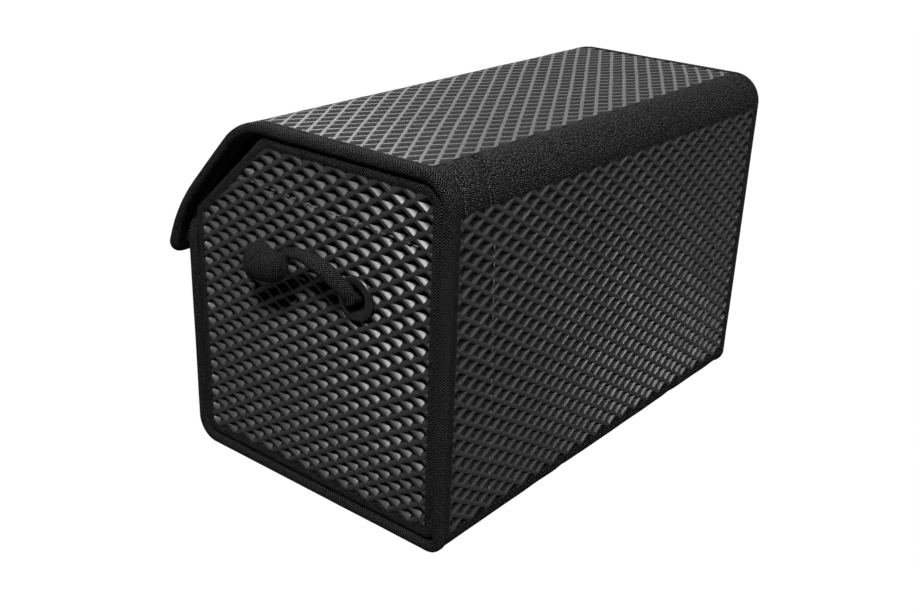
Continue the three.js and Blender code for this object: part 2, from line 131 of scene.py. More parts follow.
line = []
walked, pen_y, pen_z, heading = 0, 0, FRONT_HEIGHT, -QUARTER
for name, size, turn in stretches:
    part = (name, walked, pen_y, pen_z, heading, size, turn)
    way = size * turn if turn else size
    line.append(part)
    pen_y, pen_z, heading = ahead_of(part, way)
    walked += way
TIP = walked
START = {part[0]: part[1] for part in line}
FRONT_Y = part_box("hinge_band")[1].y / MM + BAND_UNDER - DEPTH
print("strip is", round(TIP), "mm long and its front is at y", round(FRONT_Y, 2))


# %% [markdown]
# Two helpers use the line. One gives the point in space for a place on the strip. The other
# lists the ways along it where a sheet needs a cut across, so that it can follow each bend.

# %% Places on the strip
def on_strip(x, s, depth=0.0):
    """Point in metres for x, way along the strip and depth, all in millimetres."""
    part = [p for p in line if p[1] <= s or p is line[0]][-1]
    y, z, now = ahead_of(part, s - part[1])
    return Vector((x, FRONT_Y + y - math.sin(now) * depth, z + math.cos(now) * depth)) * MM


def bend_cuts(low, high, step_angle=math.radians(4.5)):
    """Ways between two limits where the strip has to have a cut to bend."""
    found = []
    for name, start, y, z, heading, size, turn in line:
        count = max(1, math.ceil(turn / step_angle)) if turn else 1
        way = size * turn if turn else size
        found += [start + way * i / count for i in range(count + 1)]
    inside = sorted({round(s, 4) for s in found if low + 0.4 < s < high - 0.4})
    return [low] + inside + [high]


print("cuts from end to end:", len(bend_cuts(0, TIP)))


# %% [markdown]
# The camera stands where the photographer stood: to the right, behind and above the box, close
# enough for strong perspective. It could be moved by eye until the picture fits, but edges that
# run together in the photo give its place, its lens and its small roll much more closely. The
# matrix is built from three directions: right, up and back.

# %% Camera
AZIMUTH, ELEVATION, ROLL = (math.radians(a) for a in (128.07, 23.46, 2.28))
CAMERA = Vector((819.6, 624.3, 538.8)) * MM
back = Vector((
    math.sin(AZIMUTH) * math.cos(ELEVATION),
    -math.cos(AZIMUTH) * math.cos(ELEVATION),
    math.sin(ELEVATION),
))
level = Vector((0, 0, 1)).cross(back).normalized()
upright = back.cross(level)
right = level * math.cos(ROLL) + upright * math.sin(ROLL)
up = upright * math.cos(ROLL) - level * math.sin(ROLL)
bpy.ops.object.camera_add(location=CAMERA)
camera = bpy.context.object
camera.name = "photo_camera"
turn = Matrix((right, up, back)).transposed()
camera.matrix_world = Matrix.Translation(CAMERA) @ turn.to_4x4()
camera.data.sensor_width = 36
camera.data.lens = 1148.8 / 920 * 36
camera.data.clip_start = 0.01
bpy.context.scene.camera = camera
bpy.context.scene.view_settings.view_transform = "Standard"
print("camera at", tuple(round(v, 3) for v in CAMERA), "lens", round(camera.data.lens, 1), "mm")


# %% [markdown]
# A black object on white paper needs little light and much contrast. The room is dark on the
# camera's side and only a little brighter behind the box, which shades the cells softly. A
# picture of a real room would do this too, but two greys and a slope between them are enough.
# The camera itself sees plain white.

# %% Room
SLOPE_OF_LIGHT = (-0.9, 0.07, 1.0, 0.006)


def seen_by_camera(tree):
    """1 for rays that come straight from the camera and 0 for all others."""
    return tree.nodes.new("ShaderNodeLightPath").outputs["Is Camera Ray"]


world = bpy.context.scene.world or bpy.data.worlds.new("studio")
bpy.context.scene.world = world
world.use_nodes = True
sky = world.node_tree
sky.nodes.clear()
direction = sky.nodes.new("ShaderNodeTexCoord")
towards_camera = sky.nodes.new("ShaderNodeVectorMath")
towards_camera.operation = "DOT_PRODUCT"
towards_camera.inputs[1].default_value = (0.79, 0.61, 0)  # level heading of the camera
sky.links.new(direction.outputs["Generated"], towards_camera.inputs[0])
falloff = sky.nodes.new("ShaderNodeMapRange")
for place, value in enumerate(SLOPE_OF_LIGHT, start=1):
    falloff.inputs[place].default_value = value
sky.links.new(towards_camera.outputs["Value"], falloff.inputs[0])
room = sky.nodes.new("ShaderNodeBackground")
sky.links.new(falloff.outputs[0], room.inputs["Color"])
shown = sky.nodes.new("ShaderNodeBackground")
shown.inputs["Color"].default_value = (1, 1, 1, 1)
mix = sky.nodes.new("ShaderNodeMixShader")
horizon = sky.nodes.new("ShaderNodeOutputWorld")
sky.links.new(seen_by_camera(sky), mix.inputs["Fac"])
sky.links.new(room.outputs[0], mix.inputs[1])
sky.links.new(shown.outputs[0], mix.inputs[2])
sky.links.new(mix.outputs[0], horizon.inputs["Surface"])
print("the room has", len(sky.nodes), "nodes")


# %% [markdown]
# One small soft lamp stands high beside the camera and lights the walls of the cells that face
# up, so each pit has one grey wall and is black otherwise. A larger lamp would fill the pits. A
# weaker one behind the rear panel picks out its ribs, and one low in front shines in the lid,
# which is seen at a low angle. The floor is a plane that only the studio needs.

# %% Lamps and floor
def lamp(name, place, target, size, watts):
    bpy.ops.object.light_add(type="AREA", location=Vector(place))
    light = bpy.context.object
    light.name = name
    light.data.shape = "DISK"
    light.data.size = size
    light.data.energy = watts
    aim = (Vector(target) - Vector(place)).to_track_quat("-Z", "Y")
    light.rotation_euler = aim.to_euler()
    print(name, watts, "W")


lamp("key_lamp", (1.1, 0.5, 1.75), (0, 0, 0.2), 0.4, 54)
lamp("rear_lamp", (-0.35, 1.6, 1.15), (-0.1, 0, 0.0), 0.3, 13)
lamp("front_lamp", (-0.75, -1.2, 1.1), (0, 0, 0.15), 0.9, 8.5)

bpy.ops.object.select_all(action="DESELECT")
bpy.ops.mesh.primitive_plane_add(size=14)
floor = bpy.context.object
floor.name = "floor"
floor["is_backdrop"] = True

# %% [markdown]
# A finish is a tree of shader nodes. Written as boxes and wires it is hard to read, so a small
# class holds one socket and turns + - * into Math nodes, with a number on either side. One
# method makes any other node, feeds it, and gives it its settings.

# %% A number on a surface
class Wire:
    """A number that varies over a surface."""

    def __init__(self, finish, socket):
        self.finish = finish
        self.socket = socket

    def __add__(self, other):
        return self.finish.maths("ADD", self, other)

    __radd__ = __add__

    def __sub__(self, other):
        return self.finish.maths("SUBTRACT", self, other)

    def __rsub__(self, other):
        return self.finish.maths("SUBTRACT", other, self)

    def __mul__(self, other):
        return self.finish.maths("MULTIPLY", self, other)

    __rmul__ = __mul__


print(Wire.__doc__)


# %% [markdown]
# A finish is one material. Its nodes are made by one method, and short names stand for the few
# kinds that come back often: noise for grain, a ramp, a mix of two tints and a bump.

# %% A material
class Finish:
    """One material with a Principled shader, named for what it is on the box."""

    def __init__(self, name, **constants):
        self.material = bpy.data.materials.new(name)
        self.material.use_nodes = True
        self.tree = self.material.node_tree
        self.tree.nodes.clear()
        self.shader = self.node("ShaderNodeBsdfPrincipled", inputs=constants)
        surface = self.tree.nodes.new("ShaderNodeOutputMaterial")
        self.tree.links.new(self.shader.outputs[0], surface.inputs["Surface"])

    def node(self, kind, settings=None, inputs=None):
        made = self.tree.nodes.new(kind)
        for key, value in (settings or {}).items():
            if key == "stops":
                ramp = made.color_ramp.elements
                while len(ramp) < len(value):
                    ramp.new(0.5)
                for element, (place, grey) in zip(ramp, value):
                    element.position = place
                    element.color = (grey, grey, grey, 1)
            else:
                setattr(made, key, value)
        for key, value in (inputs or {}).items():
            self.feed(made.inputs[key], value)
        return made

    def feed(self, socket, value):
        if isinstance(value, Wire):
            value = value.socket
        if isinstance(value, bpy.types.NodeSocket):
            self.tree.links.new(value, socket)
        elif isinstance(value, tuple) and len(value) == 3 and len(socket.default_value) == 4:
            socket.default_value = (*value, 1)
        else:
            socket.default_value = value

    def maths(self, operation, *terms):
        made = self.node("ShaderNodeMath", {"operation": operation}, dict(enumerate(terms)))
        return Wire(self, made.outputs[0])

    def apart(self, vector):
        made = self.node("ShaderNodeSeparateXYZ", inputs={"Vector": vector})
        return [Wire(self, out) for out in made.outputs]

    def coordinate(self, name):
        return self.node("ShaderNodeTexCoord").outputs[name]

    def grain(self, vector, scale, detail=2.0, roughness=0.5):
        made = self.node(
            "ShaderNodeTexNoise",
            inputs={"Vector": vector, "Scale": scale, "Detail": detail, "Roughness": roughness},
        )
        return Wire(self, made.outputs["Fac"])

    def ramp(self, amount, *stops):
        made = self.node("ShaderNodeValToRGB", {"stops": stops}, {"Fac": amount})
        return made.outputs["Color"]

    def tint(self, amount, low, high):
        made = self.node(
            "ShaderNodeMix", {"data_type": "RGBA"}, {0: amount, 6: (*low, 1), 7: (*high, 1)}
        )
        return made.outputs[2]

    def bump(self, height, distance, strength=1.0):
        made = self.node(
            "ShaderNodeBump",
            inputs={"Height": height, "Distance": distance, "Strength": strength},
        )
        self.feed(self.shader.inputs["Normal"], made.outputs["Normal"])

    def set(self, **sockets):
        for name, value in sockets.items():
            self.feed(self.shader.inputs[name.replace("_", " ")], value)

    def report(self):
        print(self.material.name, "has", len(self.tree.nodes), "nodes")


# %% [markdown]
# The floor is white paper. It looks white to the camera alone: for all other rays it is a dark
# matt grey, so that it throws no light up into the pits of the foam.

# %% Floor finish
paper = bpy.data.materials.new("white_paper")
paper.use_nodes = True
tree = paper.node_tree
tree.nodes.clear()
matt = tree.nodes.new("ShaderNodeBsdfDiffuse")
matt.inputs["Color"].default_value = (0.12, 0.12, 0.12, 1)
glow = tree.nodes.new("ShaderNodeEmission")
glow.inputs["Strength"].default_value = 1.05
both = tree.nodes.new("ShaderNodeMixShader")
share = tree.nodes.new("ShaderNodeMath")
share.operation = "MULTIPLY"
share.inputs[1].default_value = 0.96
tree.links.new(seen_by_camera(tree), share.inputs[0])
tree.links.new(share.outputs[0], both.inputs["Fac"])
tree.links.new(matt.outputs[0], both.inputs[1])
tree.links.new(glow.outputs[0], both.inputs[2])
surface = tree.nodes.new("ShaderNodeOutputMaterial")
tree.links.new(both.outputs[0], surface.inputs["Surface"])
floor.data.materials.append(paper)
print("the floor's paper has", len(tree.nodes), "nodes")

# %% [markdown]
# The foam is a closed-cell sheet with a satin skin. Up close the skin has pores and shallow
# dents, so its shine breaks up into small glints. Noise at two scales feeds the bump, and a
# wide, faint noise moves the colour. The UV map of the foam holds how deep a point lies in its
# cell. With that depth the base colour is darkened towards the pit floors: painted shade in the
# pits. The mould presses the ribs smooth and only stretches the skin in the pits, so a pit is
# duller, and a thin clear coat on the ribs fades out with that depth.

# %% Foam finish
foam = Finish("black_foam", **{"Specular IOR Level": 0.17, "Coat Roughness": 0.26})
spot = foam.coordinate("Object")
hollow, _, _ = foam.apart(foam.coordinate("UV"))
pebbles = foam.grain(spot, 750, 3.0, 0.65)
dents = foam.grain(spot, 330, 3.0, 0.6)
patches = foam.grain(spot, 25, 3.0)
# painted shade: the base colour darkens with depth towards the pit floors
shade = (1 - 0.9 * hollow) * (0.55 + 0.45 * patches)
foam.set(
    Base_Color=foam.tint(shade, (0.002, 0.002, 0.002), (0.030, 0.030, 0.031)),
    Roughness=0.38 + 0.20 * dents,
    Coat_Weight=0.38 * (1 - hollow),
)
foam.bump(pebbles + dents * 0.6, 0.6 * MM, 0.9)
foam.report()

# %% [markdown]
# The edge tape is a herringbone: diagonal ribs that change direction every few millimetres
# across the tape. On a UV map in metres, u along the tape and v across it, the ribs are a sine
# of u plus a zigzag of v. The tops of the yarns catch the light and the gaps are black, and the
# base colour paints both: a painted highlight on the yarn tops and painted shade in the gaps. A
# fine noise frays the yarns, which would look printed without it.

# %% Tape and webbing finishes
def yarns(finish, way, pitch):
    """Rows of yarn across a way: 0 in the gaps and 1 on top of the yarns."""
    return finish.maths("SINE", way * (2 * math.pi / pitch)) * 0.5 + 0.5


def herringbone(name, pitch, turn_width, dark, light, relief):
    finish = Finish(name, **{"Roughness": 0.85, "Specular IOR Level": 0.05})
    along, across, _ = finish.apart(finish.coordinate("UV"))
    zigzag = finish.maths("PINGPONG", across + 40 * turn_width, turn_width)
    ribs = yarns(finish, along + zigzag, pitch)
    yarn = yarns(finish, along - zigzag * 0.8, pitch * 0.42)
    fuzz = finish.grain(finish.coordinate("UV"), 900, 3.0, 0.7)
    height = ribs * (0.62 + 0.38 * yarn)
    # painted highlight on the yarn tops and painted shade in the gaps
    shade = finish.ramp(height + (fuzz - 0.5) * 1.8, (0.6, 0.0), (1.0, 1.0))
    finish.set(Base_Color=finish.tint(shade, dark, light))
    finish.bump(height + fuzz * 0.3, relief, 1.0)
    finish.report()
    return finish


tape = herringbone("herringbone_tape", 2.3 * MM, 4.6 * MM, (0.0003,) * 3, (0.095,) * 3, 0.5 * MM)
webbing = herringbone("webbing", 2.2 * MM, 5.5 * MM, (0.0005,) * 3, (0.110,) * 3, 0.45 * MM)

# %% [markdown]
# The hinge band is a coarse plain-woven cloth. Its yarns stand in rows that read as fine
# slanting lines. Two sines across each other make the yarn crossings, and the base colour is
# lighter on their tops, a painted highlight, and black between them, painted shade. A noise
# breaks them up into light specks, painted glints that such a cloth shows from afar.

# %% Cloth finish
oxford = Finish("oxford_cloth", **{"Roughness": 0.8, "Specular IOR Level": 0.05})
along, across, _ = oxford.apart(oxford.coordinate("UV"))
YARN = 1.6 * MM
warp = yarns(oxford, along * 0.94 + across * 0.34, YARN)
weft = yarns(oxford, across * 0.94 - along * 0.34, YARN * 0.8)
glint_specks = oxford.grain(oxford.coordinate("UV"), 600, 3.0, 0.75)
height = warp * (0.35 + 0.65 * weft)
# painted highlight on the yarn tops, painted shade between them and painted glints in specks
shade = oxford.ramp(height * 0.7 + (glint_specks - 0.5) * 3.2, (0.35, 0.0), (1.0, 1.0))
oxford.set(Base_Color=oxford.tint(shade, (0.001, 0.001, 0.001), (0.120, 0.120, 0.122)))
oxford.bump(height + glint_specks * 0.3, 0.3 * MM, 1.0)
oxford.report()

# %% [markdown]
# The eyelets are moulded in black plastic with a soft shine that fine scuffs break up. Thread is
# twisted, and its base colour is painted light and dark along each stitch: painted glints on the
# twists. Hook and loop tape is a dull, rough pile.

# %% Plastic, thread and pile finishes
plastic = Finish("eyelet_plastic", **{"Specular IOR Level": 0.5})
spot = plastic.coordinate("Object")
scuffs = plastic.grain(spot, 220, 4.0, 0.65)
plastic.set(
    Base_Color=plastic.tint(scuffs, (0.004, 0.004, 0.004), (0.010, 0.010, 0.010)),
    Roughness=0.24 + 0.22 * scuffs,
)
plastic.bump(plastic.grain(spot, 900, 2.0), 0.05 * MM, 0.5)

thread = Finish("black_thread", **{"Roughness": 0.55})
twist = thread.grain(thread.coordinate("Object"), 1900, 1.0)
# painted glints: the black thread's base colour runs light and dark along its twists
thread.set(Base_Color=thread.tint(twist, (0.03, 0.03, 0.03), (0.16, 0.16, 0.16)))
thread.bump(twist, 0.1 * MM, 0.8)

nap = Finish("closure_nap", **{"Roughness": 0.9})
hooks = nap.grain(nap.coordinate("Object"), 1300, 3.0, 0.7)
nap.set(Base_Color=nap.tint(hooks, (0.005, 0.005, 0.005), (0.05, 0.05, 0.05)))
nap.bump(hooks, 0.6 * MM, 1.0)
for finish in (plastic, thread, nap):
    finish.report()


# %% [markdown]
# Small helpers for work by hand: pick one object, go in and out of edit mode, apply every
# modifier, and put a finished piece on its body with its finish, hiding the solids it stands for.

# %% Bench helpers
def alone(piece):
    bpy.ops.object.select_all(action="DESELECT")
    piece.select_set(True)
    bpy.context.view_layer.objects.active = piece


def editing(piece, mode="VERT"):
    alone(piece)
    bpy.ops.object.mode_set(mode="EDIT")
    bpy.ops.mesh.select_mode(type=mode)
    bpy.ops.mesh.select_all(action="SELECT")


def done_editing():
    bpy.ops.object.mode_set(mode="OBJECT")


def apply_modifiers(piece):
    alone(piece)
    for modifier in list(piece.modifiers):
        bpy.ops.object.modifier_apply(modifier=modifier.name)


def faces_out(piece):
    editing(piece)
    bpy.ops.mesh.remove_doubles(threshold=0.005 * MM)
    bpy.ops.mesh.normals_make_consistent(inside=False)
    done_editing()


def place_piece(piece, name, body, finish, slot, *nodes):
    piece.name = name
    piece.data.name = name
    piece.data.materials.clear()
    piece.data.materials.append(finish.material)
    if body:
        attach(piece, body)
    if nodes:
        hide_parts(*nodes)
    print(name, len(piece.data.polygons), "faces")


print("units of the bench:", MM, "m")


# %% [markdown]
# One cell is a diamond pit with a flat floor, steep walls and a rib round it. The real sheet is
# pressed from a mould, so all cells are alike. One diamond is drawn, inset four times (rib,
# soft shoulder, wall, floor) and repeated by two Array modifiers, as a press would.

# %% Cell field
CELL_LONG = 22.8
CELL_SHORT = 14.05
RIB = 2.7
SHOULDER = 0.5
SHOULDER_DROP = 0.4
PIT = 6.2
WALL_RUN = 3.2
WALL_DROP = 5.6
FLOOR_RIM = 0.5
FLOOR_DROP = 0.12
PINCH = 1.6


def cell_field(name, low, high):
    """Flat sheet of cells with its face at z 0, larger than the rectangle low to high."""
    bpy.ops.object.select_all(action="DESELECT")
    bpy.ops.mesh.primitive_circle_add(vertices=4, radius=MM, fill_type="NGON")
    field = bpy.context.object
    field.name = name
    editing(field, "FACE")
    bpy.ops.transform.resize(value=(CELL_LONG / 2, CELL_SHORT / 2, 1))
    bpy.ops.mesh.inset(thickness=(RIB / 2 - SHOULDER / 2) * MM, depth=0)
    bpy.ops.mesh.inset(thickness=SHOULDER * MM, depth=-SHOULDER_DROP * MM)
    bpy.ops.mesh.inset(thickness=WALL_RUN * MM, depth=-WALL_DROP * MM)
    bpy.ops.mesh.inset(thickness=FLOOR_RIM * MM, depth=-FLOOR_DROP * MM)
    bpy.ops.mesh.select_all(action="SELECT")
    half = (CELL_LONG / 2 * MM, CELL_SHORT / 2 * MM, 0)
    bpy.ops.mesh.duplicate_move(TRANSFORM_OT_translate={"value": half})
    done_editing()
    sizes = (CELL_LONG, CELL_SHORT)
    counts = [math.ceil((high[i] - low[i]) / size) + 2 for i, size in enumerate(sizes)]
    for axis, size in enumerate(sizes):
        repeat = field.modifiers.new("repeat", "ARRAY")
        repeat.count = counts[axis]
        repeat.use_relative_offset = False
        repeat.use_constant_offset = True
        repeat.constant_offset_displace = [size * MM if i == axis else 0 for i in range(3)]
    apply_modifiers(field)
    editing(field)
    start = [(low[i] + high[i] - (counts[i] - 0.5) * sizes[i]) / 2 for i in range(2)]
    bpy.ops.transform.translate(value=(start[0] * MM, start[1] * MM, 0))
    bpy.ops.mesh.remove_doubles(threshold=0.01 * MM)
    done_editing()
    return field


print("a cell is", CELL_LONG, "by", CELL_SHORT, "mm and", PIT, "mm deep")


# %% [markdown]
# Soft foam is never flat, and its cut edges are pinched by the seams. So each field is moved a
# little by slow noise, cut along its outline, pinched there, and closed with a plain back. The
# bumps could be sculpted, but noise needs no hand. Blender seeds noise vectors from the clock,
# so a seed is set first, and each run then gives the same sheets.

# %% Work on a field
noise.seed_set(1)


def press_unevenly(field, seed):
    """The soft sheet is never quite flat or regular: slow waves move the cells a little."""
    for vertex in field.data.vertices:
        here = vertex.co / (60 * MM) + Vector((seed, 0, 0))
        wave = noise.noise_vector(here)
        small = noise.noise_vector(vertex.co / (14 * MM) + Vector((0, seed, 3)))
        vertex.co += Vector((wave.x * 0.7 + small.x * 0.3, wave.y * 0.5 + small.y * 0.25, 0)) * MM
        vertex.co.z = min(0, vertex.co.z + (wave.z * 0.35 + small.z * 0.25 - 0.25) * MM)


def cut(field, point, outward):
    editing(field)
    bpy.ops.mesh.bisect(
        plane_co=(point[0] * MM, point[1] * MM, 0), plane_no=(*outward, 0),
        clear_outer=True, clear_inner=False, use_fill=False)
    done_editing()


def close_sheet(field):
    """Pinch the cut rim flat, as its seam does, and put walls from it down to a plain back."""
    editing(field, "EDGE")
    bpy.ops.mesh.select_all(action="DESELECT")
    bpy.ops.mesh.select_non_manifold(
        extend=False, use_wire=False, use_boundary=True, use_multi_face=False,
        use_non_contiguous=False, use_verts=False)
    done_editing()
    for vertex in field.data.vertices:
        if vertex.select:
            vertex.co.z = max(vertex.co.z, -PINCH * MM)
    bpy.ops.object.mode_set(mode="EDIT")
    bpy.ops.mesh.extrude_region_move(TRANSFORM_OT_translate={"value": (0, 0, -SHEET * MM)})
    bpy.ops.transform.resize(value=(1, 1, 0), center_override=(0, 0, -SHEET * MM))
    bpy.ops.mesh.edge_face_add()
    done_editing()


def note_depth(field):
    """Keep in the UV map how deep a point lies: 0 on the face and the back, 1 on a pit floor."""
    layer = field.data.uv_layers.active or field.data.uv_layers.new()
    for loop in field.data.loops:
        depth = -field.data.vertices[loop.vertex_index].co.z / MM
        layer.data[loop.index].uv = (min(1, depth / PIT) if depth < SHEET - 1 else 0, 0)


def finish_foam(field, name, body, *nodes):
    faces_out(field)
    alone(field)
    bpy.ops.object.shade_smooth_by_angle(angle=math.radians(30))
    place_piece(field, name, body, foam, "foam", *nodes)


print("a cut rim is pinched to", PINCH, "mm")

# %% [markdown]
# The foam of the front and floor is one bent sheet, and so is the lid. Each is cut from a flat
# field, given extra cuts across where it will bend, and then every point is moved on to the
# strip's line. It stops at the tape's inner edge, where the real one is pinched and stitched.

# %% Foam on the strip
TAPE_LEG = 13
CLEAR = 0.3
FOAM_HALF = LENGTH / 2 - TAPE_LEG - CLEAR
BAND_REACH = 4
HINGE_BELOW = 7
CLOTH_BELOW = 3


def strip_foam(name, body, low_s, high_s, seed):
    field = cell_field(name, (-FOAM_HALF, low_s), (FOAM_HALF, high_s))
    press_unevenly(field, seed)
    cut(field, (FOAM_HALF, 0), (1, 0))
    cut(field, (-FOAM_HALF, 0), (-1, 0))
    cut(field, (0, high_s), (0, 1))
    cut(field, (0, low_s), (0, -1))
    close_sheet(field)
    for s in bend_cuts(low_s, high_s)[1:-1]:
        editing(field)
        bpy.ops.mesh.bisect(plane_co=(0, s * MM, 0), plane_no=(0, 1, 0))
        done_editing()
    note_depth(field)
    for vertex in field.data.vertices:
        x, s, z = vertex.co / MM
        vertex.co = on_strip(x, s, -z)
    finish_foam(field, name, body, name.removesuffix("_foam"))


BAND_FROM = START["rear_corner"] - BAND_REACH
BAND_TO = START["rear"] + BAND_REACH
CLOTH_FROM = START["hinge_corner"] - CLOTH_BELOW
strip_foam("base_panel_foam", "body", TAPE_LEG + CLEAR, BAND_FROM, 1)
strip_foam("rear_panel_foam", "body", BAND_TO, CLOTH_FROM, 2)
strip_foam("lid_panel_foam", "lid", START["lid_top"] + CLEAR, TIP - TAPE_LEG - CLEAR, 3)

# %% [markdown]
# The end panels are flat and five-sided, with rounded corners. Foam, tape and holes all need the
# same outline, only further in or out, so one helper walks round the five corners and moves each
# point in by an inset. A bevelled n-gon would give the shape too, but not the inset directions.

# %% Outline of the ends
BOUND_EDGE = 9
END_INSET = 3
END_LEG = 9
END_LOW = BOUND_EDGE + CLEAR
END_TOP = HEIGHT - BOUND_EDGE - CLEAR
END_BACK = DEPTH - BOUND_EDGE - CLEAR
EYELET_MIDDLE = 144
EYELET_SPACING = 105
EYELET_HEIGHT = 194
EYELET_HOLE = 24.6
EYELET_PLACES = (EYELET_MIDDLE - EYELET_SPACING / 2, EYELET_MIDDLE + EYELET_SPACING / 2)
end_corners = [
    (END_LOW, END_LOW, FRONT_CORNER - END_LOW),
    (END_BACK, END_LOW, 10),
    (END_BACK, END_TOP, HINGE_CORNER - END_LOW),
    (FOLD_SETBACK, END_TOP, 12),
    (END_LOW, 222, 12),
]


def end_outline(inset, steps=6):
    """Points (u, z) with outward directions round the end panel, moved in by an inset."""
    found = []
    for i, (y, z, radius) in enumerate(end_corners):
        here = Vector((y, z))
        comes = (here - Vector(end_corners[i - 1][:2])).normalized()
        goes = (Vector(end_corners[(i + 1) % 5][:2]) - here).normalized()
        bend = comes.angle(goes)
        outward = Vector((comes.y, -comes.x))
        centre = here - comes * radius * math.tan(bend / 2) - outward * radius
        for k in range(steps + 1):
            swing = bend * k / steps
            way = Vector((
                outward.x * math.cos(swing) - outward.y * math.sin(swing),
                outward.x * math.sin(swing) + outward.y * math.cos(swing),
            ))
            found.append((centre + way * (radius - inset), way))
    return found


def at_end(side, u, z, depth=0.0):
    """Point in metres on an end panel, u behind the front and depth under its face."""
    return Vector((side * (LENGTH / 2 - END_INSET - depth), FRONT_Y + u, z)) * MM


print("the outline of an end has", len(end_outline(0)), "points")


# %% [markdown]
# The same flat field is cut along every side of the rounded outline, a little further in than
# the tape. A Boolean with two short cylinders then opens the holes for the eyelets.

# %% Foam of the ends
def end_foam(side, word):
    name = f"{word}_end_panel_foam"
    outline = end_outline(END_LEG + CLEAR, 3)
    field = cell_field(name, (0, 0), (DEPTH, HEIGHT))
    press_unevenly(field, 5 + side)
    for i, (point, way) in enumerate(outline):
        edge = outline[(i + 1) % len(outline)][0] - point
        if edge.length > 0.2:
            cut(field, point, Vector((edge.y, -edge.x)).normalized())
    close_sheet(field)
    faces_out(field)
    for u in EYELET_PLACES:
        bpy.ops.object.select_all(action="DESELECT")
        bpy.ops.mesh.primitive_cylinder_add(
            vertices=32, radius=EYELET_HOLE / 2 * MM, depth=40 * MM,
            location=(u * MM, EYELET_HEIGHT * MM, 0))
        punch = bpy.context.object
        hole = field.modifiers.new("hole", "BOOLEAN")
        hole.object = punch
        hole.operation = "DIFFERENCE"
        apply_modifiers(field)
        bpy.data.objects.remove(punch)
    note_depth(field)
    for vertex in field.data.vertices:
        u, z, out = vertex.co / MM
        vertex.co = at_end(side, u, z, -out)
    finish_foam(field, name, "body", f"{word}_end_panel")


for side, word in ((1, "right"), (-1, "left")):
    end_foam(side, word)


# %% [markdown]
# Tape, band and webbing are all ribbons. A ribbon starts as a flat grid, one row of points per
# station. Each row is laid where the cloth runs, the UV map is measured along the cloth in
# metres so that the weave keeps its size, and Solidify gives the cloth its thickness. It grows
# inwards, so a mirrored ribbon lists its rows the other way round.

# %% Ribbons
def lay_ribbon(name, rows, thickness, centre, closed=False):
    """Cloth through rows of points in metres; v is 0 at the point with index centre."""
    count, across = len(rows), len(rows[0])
    bpy.ops.object.select_all(action="DESELECT")
    bpy.ops.mesh.primitive_grid_add(x_subdivisions=across - 1, y_subdivisions=count - 1, size=1)
    ribbon = bpy.context.object
    ribbon.name = name
    assert len(ribbon.data.vertices) == count * across
    for j, row in enumerate(rows):
        for i, point in enumerate(row):
            ribbon.data.vertices[j * across + i].co = point
    along = [0.0]
    for j in range(1, count):
        along.append(along[-1] + (rows[j][centre] - rows[j - 1][centre]).length)
    widths = []
    for row in rows:
        width = [0.0]
        for i in range(1, across):
            width.append(width[-1] + (row[i] - row[i - 1]).length)
        widths.append([w - width[centre] for w in width])
    uv = ribbon.data.uv_layers.active.data
    for loop in ribbon.data.loops:
        j, i = divmod(loop.vertex_index, across)
        uv[loop.index].uv = (along[j], widths[j][i])
    if closed:
        editing(ribbon)
        bpy.ops.mesh.remove_doubles(threshold=0.01 * MM)
        done_editing()
    wall = ribbon.modifiers.new("thickness", "SOLIDIFY")
    wall.thickness = thickness * MM
    wall.offset = -1
    apply_modifiers(ribbon)
    alone(ribbon)
    bpy.ops.object.shade_smooth_by_angle(angle=math.radians(50))
    return ribbon


print("ribbons are laid on grids, with their weave measured in metres")

# %% [markdown]
# The tape that binds the strip is folded over its edge into a soft bead, about as wide on the
# end side as on the rear. Past the bead it dips into the stitch line and lies flat on the foam.
# A curve with a bevel could sweep the section, but it would twist at the corners. Here each row
# is laid one by one, and slow noise makes the bead a little slack.

# %% Section of the tape
BEAD = [
    (13.0, 0.9), (11.4, 0.8), (10.3, 1.2), (9.4, 0.9), (8.2, 0.15), (6.4, 0.0), (4.2, 0.1),
    (2.4, 0.6), (1.1, 1.5), (0.3, 2.9), (0.0, 4.5), (0.3, 6.2), (1.1, 7.6), (2.4, 8.6),
    (4.2, 9.0), (8.0, 9.0), (13.0, 9.0),
]
BEAD_CREST = 8
TAPE_THICK = 1.2


def fine_cuts(low, high, longest=25.0):
    """Ways between two limits, close enough for the tape to bend and to be uneven."""
    found = []
    coarse = bend_cuts(low, high)
    for a, b in zip(coarse, coarse[1:]):
        count = max(1, math.ceil((b - a) / longest))
        found += [a + (b - a) * i / count for i in range(count)]
    return found + [high]


def bead_row(x, s, in_x, in_s, seed):
    slack = noise.noise(Vector((s / 40 + seed, x / 90, 0)))
    row = []
    for reach, depth in BEAD:
        soft = 0.35 * slack if depth < 8.9 and reach < 9 else 0
        in_by = reach - min(soft, 0)
        row.append(on_strip(x + in_x * in_by, s + in_s * reach, depth + max(soft, 0)))
    return row


print("the bead has", len(BEAD), "points across")


# %% [markdown]
# Along the strip the tape runs on one side, goes round the bound corner, crosses the edge and
# comes back on the other side, all in one piece as it is sewn. At the hinge it stops, and a
# short piece bridges the hinge, where the real tape bends with the cloth. That piece is put on
# neither the body nor the lid.

# %% Tape round the strip
def tape_run(side, low, high, seed):
    return [bead_row(side * LENGTH / 2, s, -side, 0, seed) for s in fine_cuts(low, high)]


def tape_corner(side, s, ahead, seed):
    radius = TAPE_LEG + CLEAR
    rows = []
    for k in range(9):
        angle = QUARTER * k / 8
        c, d = math.cos(angle), math.sin(angle)
        x = side * (LENGTH / 2 - radius + radius * c)
        rows.append(bead_row(x, s - ahead * radius * (1 - d), -side * c, -ahead * d, seed))
    return rows


